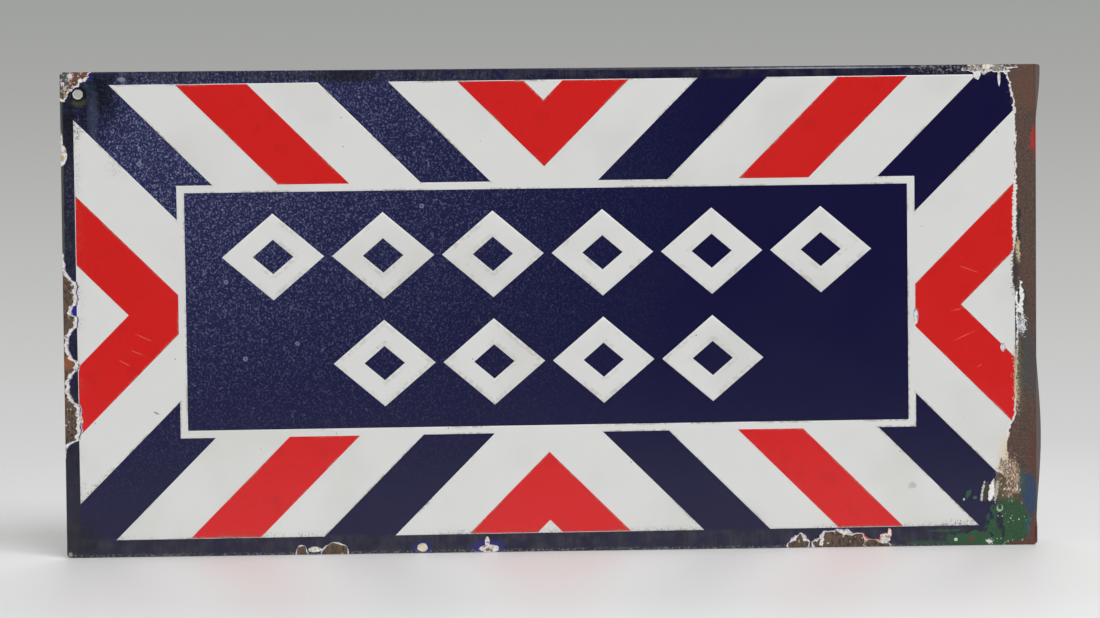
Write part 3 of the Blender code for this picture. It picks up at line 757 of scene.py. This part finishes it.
def flat_blank():
    """The developed sheet with rounded corners and a soft rim, navy in front, navy behind."""
    bm = bmesh.new()
    bmesh.ops.create_grid(bm, x_segments=1, y_segments=1, size=0.5)
    middle = ((LEFT + FLANGE_TIP) / 2, -THICKNESS / 2 + EDGE_ROUNDING, 0)
    lay_out(bm, bm.verts[:], FLANGE_TIP - LEFT, FACE_HEIGHT, middle)
    slit_bottom = FLANGE_BOTTOM - SLIT_WIDTH
    for x in (FOLD_START, RIGHT):
        cut(bm, bm.faces[:], (x, 0, 0), (1, 0, 0))
    for z in (slit_bottom, FLANGE_BOTTOM):
        cut(bm, bm.faces[:], (0, 0, z), (0, 0, 1))
    waste = []
    for face in bm.faces:
        middle = face.calc_center_median()
        in_slit = middle.x > FOLD_START and slit_bottom < middle.z < FLANGE_BOTTOM
        if in_slit or (middle.x > RIGHT and middle.z < slit_bottom):
            waste.append(face)
    bmesh.ops.delete(bm, geom=waste, context="FACES")
    bmesh.ops.dissolve_faces(bm, faces=bm.faces[:], use_verts=True)
    for radius, corners in (
            (CORNER_RADIUS, ((LEFT, BOTTOM), (RIGHT, BOTTOM), (LEFT, TOP))),
            (FLANGE_CORNER_RADIUS, ((FLANGE_TIP, FLANGE_BOTTOM), (FLANGE_TIP, TOP)))):
        chosen = [vert for vert in bm.verts
                  if any(abs(vert.co.x - x) + abs(vert.co.z - z) < 1e-5 for x, z in corners)]
        bmesh.ops.bevel(
            bm, geom=chosen, affect="VERTICES", offset_type="OFFSET", offset=radius,
            segments=6, profile=0.5, material=-1)
    extrude(bm, bm.faces[:], THICKNESS - 2 * EDGE_ROUNDING)
    bmesh.ops.recalc_face_normals(bm, faces=bm.faces[:])
    for side in (-1, 1):
        flat = [face for face in bm.faces if side * face.normal.y > 0.9]
        pillow(bm, flat, round_steps(EDGE_ROUNDING, EDGE_STEPS))
    for step in range(FOLD_STEPS + 1):
        cut(bm, bm.faces[:], (FOLD_START + FOLD_LENGTH * step / FOLD_STEPS, 0, 0), (1, 0, 0))
    for centre, half_length, _ in KNOCKS:
        for step in range(-KNOCK_STEPS, KNOCK_STEPS + 1):
            flange = [face for face in bm.faces if face.calc_center_median().x > FLANGE_START]
            cut(bm, flange, (0, 0, centre + half_length * step / KNOCK_STEPS), (0, 0, 1))
    bm.normal_update()
    for face in bm.faces:
        face.material_index = 0 if face.normal.y < -0.5 else 1 if face.normal.y > 0.5 else 2
    return new_piece("navy_sheet", bm, (NAVY, NAVY_BACK, RIM))


sheet = flat_blank()
print("sheet", len(sheet.data.polygons), "faces", tuple(round(size, 4) for size in sheet.dimensions))

# %% [markdown]
# The stripes all follow one rule: a stripe's number is its distance across the diagonal, counted
# from the chevron above the panel. Stencils were laid by hand, a few millimetres off, so each
# quarter of the pattern has its own lines. Cuts along them and along the panel divide one
# rectangle, the strips that aren't wanted are taken out, and faces that lie side by side are joined.

# %% Stencils


def quarter(x, z):
    """The quarter of the pattern that holds a point, as its sides in x and z."""
    up = 1 if z > CHEVRON_TIPS_Z[1 if x > 0 else -1] else -1
    return (1 if x > CHEVRON_TIPS_X[up] else -1), up


def stripe_lines(sides):
    """Distances across the diagonal at which the stripes of a quarter change colour."""
    return [(place - 1) * STRIPE_WIDTH + slip / 1000 for place, slip in enumerate(STENCIL_SLIPS[sides])]


def stencil_shows(x, z):
    """Panel, line or stripe colour at a point of the pattern."""
    if abs(x) < PANEL_WIDTH / 2 - PANEL_LINE and abs(z) < PANEL_HEIGHT / 2 - PANEL_LINE:
        return "panel"
    if abs(x) < PANEL_WIDTH / 2 and abs(z) < PANEL_HEIGHT / 2:
        return "line"
    sides = quarter(x, z)
    distance = sides[0] * x - sides[1] * z + CHEVRON_TIP
    count = sum(distance > line for line in stripe_lines(sides))
    return ("white", "red", "white", "navy")[count % 4]


def faces_where(bm, wanted):
    """Faces whose middle is wanted, by its x and z."""
    middles = [(face, face.calc_center_median()) for face in bm.faces]
    return [face for face, middle in middles if wanted(middle.x, middle.z)]


def stencil(shown, margin):
    """Flat faces of the pattern wherever it shows one of the given colours."""
    bm = bmesh.new()
    bmesh.ops.create_grid(bm, x_segments=1, y_segments=1, size=0.5)
    lay_out(bm, bm.verts[:], PATTERN_WIDTH - 2 * margin, PATTERN_HEIGHT - 2 * margin)
    for side in (-1, 1):
        for line in (0, PANEL_LINE):
            cut(bm, bm.faces[:], (side * (PANEL_WIDTH / 2 - line), 0, 0), (1, 0, 0))
            cut(bm, bm.faces[:], (0, 0, side * (PANEL_HEIGHT / 2 - line)), (0, 0, 1))
    for side in (-1, 1):
        cut(bm, faces_where(bm, lambda x, z: z * side > 0.01), (CHEVRON_TIPS_X[side], 0, 0), (1, 0, 0))
        cut(bm, faces_where(bm, lambda x, z: x * side > 0.01), (0, 0, CHEVRON_TIPS_Z[side]), (0, 0, 1))
    for sides in STENCIL_SLIPS:
        for line in stripe_lines(sides):
            inside = faces_where(bm, lambda x, z: quarter(x, z) == sides)
            cut(bm, inside, (0, 0, sides[1] * (CHEVRON_TIP - line)), (sides[0], 0, -sides[1]))
    hidden = faces_where(bm, lambda x, z: stencil_shows(x, z) not in shown)
    bmesh.ops.delete(bm, geom=hidden, context="FACES")
    bmesh.ops.remove_doubles(bm, verts=bm.verts[:], dist=1e-6)
    bmesh.ops.recalc_face_normals(bm, faces=bm.faces[:])
    bmesh.ops.dissolve_limit(
        bm, angle_limit=math.radians(1), use_dissolve_boundaries=False,
        verts=bm.verts[:], edges=bm.edges[:])
    return bm


def lozenges():
    """Open lozenges in two rows, the lower row two shorter."""
    bm = bmesh.new()
    inner_width, inner_height = PANEL_WIDTH - 2 * PANEL_LINE, PANEL_HEIGHT - 2 * PANEL_LINE
    height = (inner_height - 2 * PANEL_MARGIN - ROW_GAP) / 2
    pitch = LOZENGE_WIDTH + LOZENGE_GAP
    longest = math.floor((inner_width - 2 * PANEL_SIDE_MARGIN + LOZENGE_GAP) / pitch)
    for side, count in ((1, longest), (-1, longest - 2)):
        for index in range(count):
            made = bmesh.ops.create_circle(bm, cap_ends=True, segments=4, radius=0.5)["verts"]
            middle = ((index - (count - 1) / 2) * pitch, 0, side * (height + ROW_GAP) / 2)
            lay_out(bm, made, LOZENGE_WIDTH, height, middle)
    bm.normal_update()
    middles = bm.faces[:]
    bmesh.ops.inset_individual(bm, faces=middles, thickness=LOZENGE_STROKE, use_even_offset=True)
    bmesh.ops.delete(bm, geom=middles, context="FACES_ONLY")
    return bm


COAT_FOOT = 0.0002  # how far a coat reaches down into what it lies on


def raise_coat(name, bm, level, wall, steps, side, finish, rim_dirt_and_shade=1.0):
    """Turns stencilled faces into a raised coat on the front (-1) or the back (1).

    Its rim gets the attribute "rim", which says how much dirt and painted shade darken it there, and is 0
    inside.
    """
    rim = bm.verts.layers.float.new("rim")
    bmesh.ops.translate(bm, verts=bm.verts[:], vec=(0, COAT_FOOT - level, 0))
    extrude(bm, bm.faces[:], -COAT_FOOT - wall)
    bmesh.ops.recalc_face_normals(bm, faces=bm.faces[:])
    top = [face for face in bm.faces if face.normal.y < -0.9]
    pillow(bm, top, steps)
    inside = {vert for face in top for vert in face.verts}
    for vert in bm.verts:
        vert[rim] = 0 if vert in inside else rim_dirt_and_shade
    turn = Matrix.Rotation(-STENCIL_TURN, 4, "Y")
    flip = Matrix.Diagonal((1, -side, 1, 1))
    bmesh.ops.transform(
        bm, verts=bm.verts[:], matrix=flip @ Matrix.Translation(PATTERN_CENTRE) @ turn)
    return new_piece(name, bm, (finish,))


GROUND = THICKNESS / 2
FIELD_WALL, RED_WALL, LOZENGE_WALL = 0.00015, 0.00006, 0.00018
WHITE_AND_ABOVE = ("white", "red", "line")  # the red coat lies on white
RED_LEVEL = GROUND + 0.00034
RED_MARGIN = 0.0004
FIELD_STEPS = ((0.00012, 0.00011), (0.00022, 0.00008))
RED_STEPS = ((0.0002, 0.00006),)
LOZENGE_STEPS = ((0.0003, 0.0002), (0.0005, 0.00014), (0.0007, 0.00009), (0.0009, 0.00005))
coats = []
for side, white, red, suffix in ((-1, WHITE, RED, "front"), (1, WHITE_BACK, RED_BACK, "back")):
    for name, bm, level, wall, steps, finish, rim_dirt_and_shade in (
            ("white_fields_", stencil(WHITE_AND_ABOVE, 0), GROUND, FIELD_WALL, FIELD_STEPS, white, 1.0),
            ("red_fields_", stencil(("red",), RED_MARGIN), RED_LEVEL, RED_WALL, RED_STEPS, red, 1.0),
            ("lozenges_", lozenges(), GROUND, LOZENGE_WALL, LOZENGE_STEPS, white, 0.4)):
        coats.append(raise_coat(name + suffix, bm, level, wall, steps, side, finish, rim_dirt_and_shade))
print("coats", [(coat.name, len(coat.data.polygons)) for coat in coats])

# %% [markdown]
# A chip in enamel has a ragged outline, a sloping pale rim and a flat rusty floor. Each cutter is
# a disc whose points are pushed in and out by a few sine waves. It grows wider from the floor to
# the surface, which leaves the slope. Shallow ones stop in the white ground coat. Down the left
# edge the breaks join, and leave tongues of navy between them, so one long cutter follows a rule.

# %% Chips
DEEP_CHIPS = (  # middle from left and top, half width, half height, rim in mm, raggedness
    (8.0, 0.3, 12.0, 8.0, 1.3, 1), (-0.5, 9.2, 7.4, 10.5, 1.1, 1), (5.5, 6.0, 6.5, 6.0, 0.9, 1),
    (147.3, 305.1, 4.3, 6.4, 0.5, 0.3), (168.2, 305.4, 9.6, 8.2, 0.6, 0.3),
    (461.8, 305.2, 7.4, 9.8, 1.6, 0.7), (473.5, 305.0, 4.0, 6.6, 1.2, 0.7),
    (489.5, 305.6, 17.0, 13.2, 1.9, 0.7), (510.0, 305.3, 10.0, 5.6, 0.9, 0.8),
    (584.0, 0.2, 15.5, 6.0, 1.0, 1.5))
CALM = 0.3
SHALLOW_CHIPS = (  # the same, all of one calm raggedness
    (0.3, 51.8, 3.6, 7.0, 0.4), (-0.1, 43.2, 1.5, 7.0, 0.3), (155.5, 301.6, 4.3, 1.8, 0.4),
    (223.3, 301.2, 3.3, 2.7, 0.4), (265.5, 302.6, 6.4, 2.6, 0.5), (264.3, 298.8, 1.5, 4.2, 0.35),
    (516.5, 299.8, 3.6, 3.8, 0.6), (519.6, 296.2, 1.4, 3.2, 0.35), (561.5, 301.3, 0.8, 0.8, 0.15),
    (576.2, 5.2, 2.6, 4.6, 0.6), (590.3, 7.6, 1.0, 6.4, 0.35), (536.9, 158.5, 1.5, 5.0, 0.45),
    (592.2, 179.0, 1.6, 2.6, 0.4))
EDGE_TONGUES = (  # middle from the top, half height and depth of each tongue in mm
    (112.0, 19.0, 8.4), (149.3, 3.4, 3.6), (170.4, 10.4, 5.8), (197.5, 10.2, 5.6), (246.0, 15.0, 10.2))
EDGE_BREAK = (113.0, 242.0)  # where the broken left edge starts and ends, in mm from the top
EDGE_SWELL = (207, 25, 1.2)  # where it reaches further in: start, length and how far
CHIP_SEGMENTS = 110
EDGE_ROWS = 190
FLOOR_SPREAD = -1.7  # how far inside the outline the floor ends, as a share of the rim
RING_LEVELS = ((0.0, -0.00092), (0.5, -0.0017))  # the same for the rings above, and their levels
DEEP_STEP, SHALLOW_STEP = 0.000004, 0.000003  # no two floors are level, which keeps the union clean
SHALLOW_FLOOR = STEEL / 2 + 0.00005


def grow_rings(bm, floor_depth, floor_material):
    """Grows a flat cutter upwards. Returns its rings with their spread and level, and its top."""
    for face in bm.faces:
        face.material_index = floor_material
    top = bm.faces[:]
    rings = [(bm.verts[:], FLOOR_SPREAD, -floor_depth)]
    for spread, level in RING_LEVELS:
        below = top if len(rings) > 1 else []
        top = extrude(bm, top, 0)
        bmesh.ops.delete(bm, geom=below, context="FACES")
        rings.append(({vert for face in top for vert in face.verts}, spread, level))
    return rings, top


def finish_cutter(name, bm, top):
    """Gives the walls and the top the finish of broken enamel, and makes the cutter."""
    bm.normal_update()
    for face in bm.faces:
        if abs(face.normal.y) < 0.9999 or face in top:
            face.material_index = 0
    return new_piece(name, bm, (BROKEN, RUST))


def chip_cutter(index, chip, floor_depth, floor_material):
    """A ragged disc, wider at the surface than at its floor."""
    from_left, from_top, half_width, half_height, rim, ragged = chip
    middle = Vector((LEFT + from_left / 1000, 0, TOP - from_top / 1000))
    bm = bmesh.new()
    turned = bm.verts.layers.float.new("turned")
    bmesh.ops.create_circle(bm, cap_ends=True, segments=CHIP_SEGMENTS, radius=1)
    lay_out(bm, bm.verts[:], 1, 1)
    for vert in bm.verts:
        vert[turned] = math.atan2(vert.co.z, vert.co.x)
    rings, top = grow_rings(bm, floor_depth, floor_material)
    for verts, spread, level in rings:
        for vert in verts:
            angle = vert[turned]
            waves = 0.10 * math.sin(3 * angle + index) + 0.07 * math.sin(7 * angle + 2.3 * index)
            waves += 0.045 * math.sin(13 * angle + 4.1 * index) + 0.03 * math.sin(29 * angle + 1.7 * index)
            reach = 1 + ragged * waves
            slope = spread * rim * (0.8 + 0.5 * math.sin(5 * angle + 1.9 * index))
            vert.co = middle + Vector((
                (half_width * reach + slope) * math.cos(angle) / 1000, level,
                (half_height * reach + slope) * math.sin(angle) / 1000))
    return finish_cutter("chip_cutter", bm, top)


def edge_reach(down):
    """How far the broken left edge reaches in at a height, in mm from the top."""
    reach = 9.3 + 0.35 * math.sin(0.9 * down) + 0.15 * math.sin(2.3 * down + 1)
    start, length, more = EDGE_SWELL
    if start < down < start + length:
        reach += more * math.sin(math.pi * (down - start) / length)
    for middle, half, depth in EDGE_TONGUES:
        away = abs(down - middle) / half
        if away < 1:
            reach -= depth * math.sqrt(1 - away * away)
    return max(reach, 0.4)


def edge_cutter():
    """The long cutter of the left edge, with its tongues of sound enamel."""
    high, low = EDGE_BREAK
    bm = bmesh.new()
    bmesh.ops.create_grid(bm, x_segments=1, y_segments=EDGE_ROWS, size=0.5)
    for vert in bm.verts:
        down = high + (low - high) * (0.5 - vert.co.y)
        vert.co = Vector((LEFT - 0.003 if vert.co.x < 0 else LEFT, 0, TOP - down / 1000))
    rings, top = grow_rings(bm, STEEL / 2 - 0.00001, 1)
    for verts, spread, level in rings:
        for vert in verts:
            vert.co.y = level
            if vert.co.x > LEFT - 0.001:
                down = (TOP - vert.co.z) * 1000
                rim = 1.9 + 0.3 * math.sin(1.3 * down) + 0.15 * math.sin(3.1 * down)
                vert.co.x = LEFT + max(edge_reach(down) + spread * rim, 0.1 + spread / 10) / 1000
    return finish_cutter("edge_cutter", bm, top)


cutters = [edge_cutter()]
for number, chip in enumerate(DEEP_CHIPS):
    cutters.append(chip_cutter(number, chip, STEEL / 2 + DEEP_STEP * number, 1))
for number, chip in enumerate(SHALLOW_CHIPS):
    cutters.append(chip_cutter(number + 20, (*chip, CALM), SHALLOW_FLOOR + SHALLOW_STEP * number, 0))
print("cutters", len(cutters))

# %% [markdown]
# A union of all the cutters first, and then one cut for each piece, keeps the Boolean simple where
# two chips meet. The sheet also gets its punched holes, whose walls rust.

# %% Break and punch


def punch(x, z, diameter):
    """A round cutter through the sheet, whose wall is rusty."""
    bm = bmesh.new()
    bmesh.ops.create_cone(
        bm, cap_ends=True, segments=40, radius1=diameter / 2, radius2=diameter / 2, depth=0.01,
        matrix=Matrix.Translation((x, 0, z)) @ Matrix.Rotation(math.pi / 2, 4, "X"))
    return new_piece("punch", bm, (RUST,))


chips = cutters[0]
for cutter in cutters[1:]:
    combine(chips, cutter, "UNION")
for coat in coats:
    if coat.name.endswith("front"):
        combine(coat, chips, "DIFFERENCE")
combine(chips, punch(LEFT + STAY_HOLE[0], TOP - STAY_HOLE[1], STAY_HOLE[2]), "UNION")
lowest, highest = FLANGE_BOTTOM + SCREW_HOLE_END_DISTANCE, TOP - SCREW_HOLE_END_DISTANCE
step = (highest - lowest) / (SCREW_HOLE_COUNT - 1)
for index in range(SCREW_HOLE_COUNT):
    screw_hole = punch(FLANGE_START + FLANGE_FLAT / 2, lowest + step * index, SCREW_HOLE_DIAMETER)
    combine(chips, screw_hole, "UNION")
combine(sheet, chips, "DIFFERENCE")
print("sheet has", len(sheet.data.polygons), "faces and", [each.name for each in sheet.data.materials])

# %% [markdown]
# Last, every piece is folded and moved to the solid's place. Shading is smooth over the rounded
# shoulders and stays sharp at steep steps and wherever one finish meets another, so the flat faces
# keep a calm reflection.

# %% Fold and set in place


def settle(piece):
    """Folds a piece, moves it to the frame, and sets its sharp edges."""
    bm = bmesh.new()
    bm.from_mesh(piece.data)
    bmesh.ops.triangulate(bm, faces=[face for face in bm.faces if len(face.verts) > 4])
    for vert in bm.verts:
        vert.co = fold_point(vert.co) - MOUNT
    bm.normal_update()
    for face in bm.faces:
        face.smooth = True
    for edge in bm.edges:
        steep = len(edge.link_faces) != 2 or edge.calc_face_angle() > math.radians(35)
        edge.smooth = not (steep or edge.link_faces[0].material_index != edge.link_faces[1].material_index)
    bm.to_mesh(piece.data)
    open_edges = sum(len(edge.link_faces) != 2 for edge in bm.edges)
    bm.free()
    return open_edges


for piece in (sheet, *coats):
    loose = settle(piece)
    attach(piece, "root")
    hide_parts("enamelled_sign")
    print(piece.name, "open edges", loose, "materials", [each.name for each in piece.data.materials])
tool_names = ("punch", "chip_cutter", "edge_cutter")
for tool in [each for each in bpy.data.objects if each.name.startswith(tool_names)]:
    bpy.data.objects.remove(tool)

# %% [markdown]
# The sign stands on a pale table top with a faint polish, under one large soft lamp in front and
# above, a little to the right, and two weak fills. Black cards behind the camera and before the
# sign keep the glass from mirroring a white room, as a photographer's flags would.

# %% Stage


def table_top():
    """A pale disc under the sign that fades out at its rim."""
    made, tree, shader = start_material("pale_table")
    place = add(tree, "TexCoord", out="Object")
    centred = add(tree, "Mapping", {"Vector": place, "Location": (-FACE_MIDDLE.x, 0, 0)})
    away = add(tree, "VectorMath", {0: centred}, out="Value", operation="LENGTH")
    solid = add(tree, "MapRange", {"Value": away, "From Min": 0.95, "From Max": 0.45},
                interpolation_type="SMOOTHSTEP")
    connect(shader, {"Base Color": shade("#EDEDED"), "Roughness": 0.42, "Alpha": solid})
    bm = bmesh.new()
    bmesh.ops.create_circle(bm, cap_ends=True, segments=96, radius=1.0)
    bmesh.ops.translate(bm, verts=bm.verts[:], vec=(FACE_MIDDLE.x, 0, cad_low.z - 0.0002))
    return new_piece("table_top", bm, (made,))


def black_cards():
    """Dark cards behind the camera and on the table before the sign, which only reflections see.

    Only their faces show, so the table top under the second card reflects the room.
    """
    made, tree, shader = start_material("black_card")
    behind = add(tree, "NewGeometry", out="Backfacing")
    front = add(tree, "Math", {0: 1.0, 1: behind}, operation="SUBTRACT")
    connect(shader, {"Base Color": shade("#15151A"), "Roughness": 1.0, "Alpha": front})
    bm = bmesh.new()
    for y, z, turn, length in ((-3.2, 0.0, math.pi / 2, 2.4), (-1.85, cad_low.z + 0.004, 0, 2.7)):
        card = bmesh.ops.create_grid(bm, x_segments=1, y_segments=1, size=0.5)["verts"]
        lay_out(bm, card, 3.6, length, (FACE_MIDDLE.x, y, z), turn)
    cards = new_piece("black_cards", bm, (made,))
    cards.visible_camera = cards.visible_diffuse = cards.visible_shadow = False
    return cards


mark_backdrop(table_top(), black_cards())
ROOM_LIGHT = (0.32, 0.32, 0.32, 1)  # what lights the sign, where the backdrop is only looked at
SKY = ((-0.139, "#DEDFDF"), (-0.115, "#DADBDB"), (-0.086, "#D1D1D1"), (-0.056, "#C5C5C4"),
       (-0.027, "#B9B9B7"), (0.003, "#ABABA9"), (0.032, "#A0A29F"))
world = bpy.data.worlds.new("pale_room")
bpy.context.scene.world = world
world.use_nodes = True
tree = world.node_tree
direction = add(tree, "TexCoord", out="Generated")
elevation = add(tree, "SeparateXYZ", {0: direction}, out="Z")
low, high = SKY[0][0], SKY[-1][0]
height = add(tree, "MapRange", {"Value": elevation, "From Min": low, "From Max": high})
ramp = add(tree, "ValToRGB", {0: height})
set_stops(ramp, [((z - low) / (high - low), shade(hex_colour)) for z, hex_colour in SKY])
seen = add(tree, "LightPath", out="Is Camera Ray")
for kind in ("Is Glossy Ray", "Is Transmission Ray"):
    seen = add(tree, "Math", {0: seen, 1: add(tree, "LightPath", out=kind)}, operation="MAXIMUM")
colour = add(tree, "Mix", {0: seen, 6: ROOM_LIGHT, 7: ramp}, out=2, data_type="RGBA")
connect(tree.nodes["Background"], {"Color": colour})
print("backdrop from", SKY[0], "to", SKY[-1])

# %% [markdown]
# Three soft boxes light the sign. The large one hangs in front, above and a little to the right, a
# weak one fills in from the left, and the third lights the back.

# %% Lamps


def soft_lamp(name, place, width, height, watts):
    """A soft box at a place from the sign's middle, facing the sign."""
    data = bpy.data.lights.new(name, "AREA")
    data.shape = "RECTANGLE"
    data.size, data.size_y, data.energy = width, height, watts
    lamp = bpy.data.objects.new(name, data)
    bpy.context.scene.collection.objects.link(lamp)
    turned = Vector(place).to_track_quat("Z", "Y").to_matrix().to_4x4()
    lamp.matrix_world = Matrix.Translation(FACE_MIDDLE + Vector(place)) @ turned
    lamp.visible_camera = False
    return lamp


soft_lamp("key", (0.7, -1.5, 2.1), 1.6, 1.2, 50)
soft_lamp("fill_left", (-1.8, -1.6, 0.9), 1.2, 1.2, 12.5)
soft_lamp("fill_back", (0.3, 2.0, 1.8), 1.6, 1.2, 18)
bpy.context.scene.view_settings.view_transform = "Standard"

# %% [markdown]
# The dressed sign has to fill the same box as the solid, so both boxes are written down at the end.

# %% Sizes and finish
bpy.context.view_layer.update()
low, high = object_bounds()
{"cad": [list(cad_low), list(cad_high)], "visual": [list(low), list(high)]}
print("solid", list(cad_low), list(cad_high), "looks", list(low), list(high))
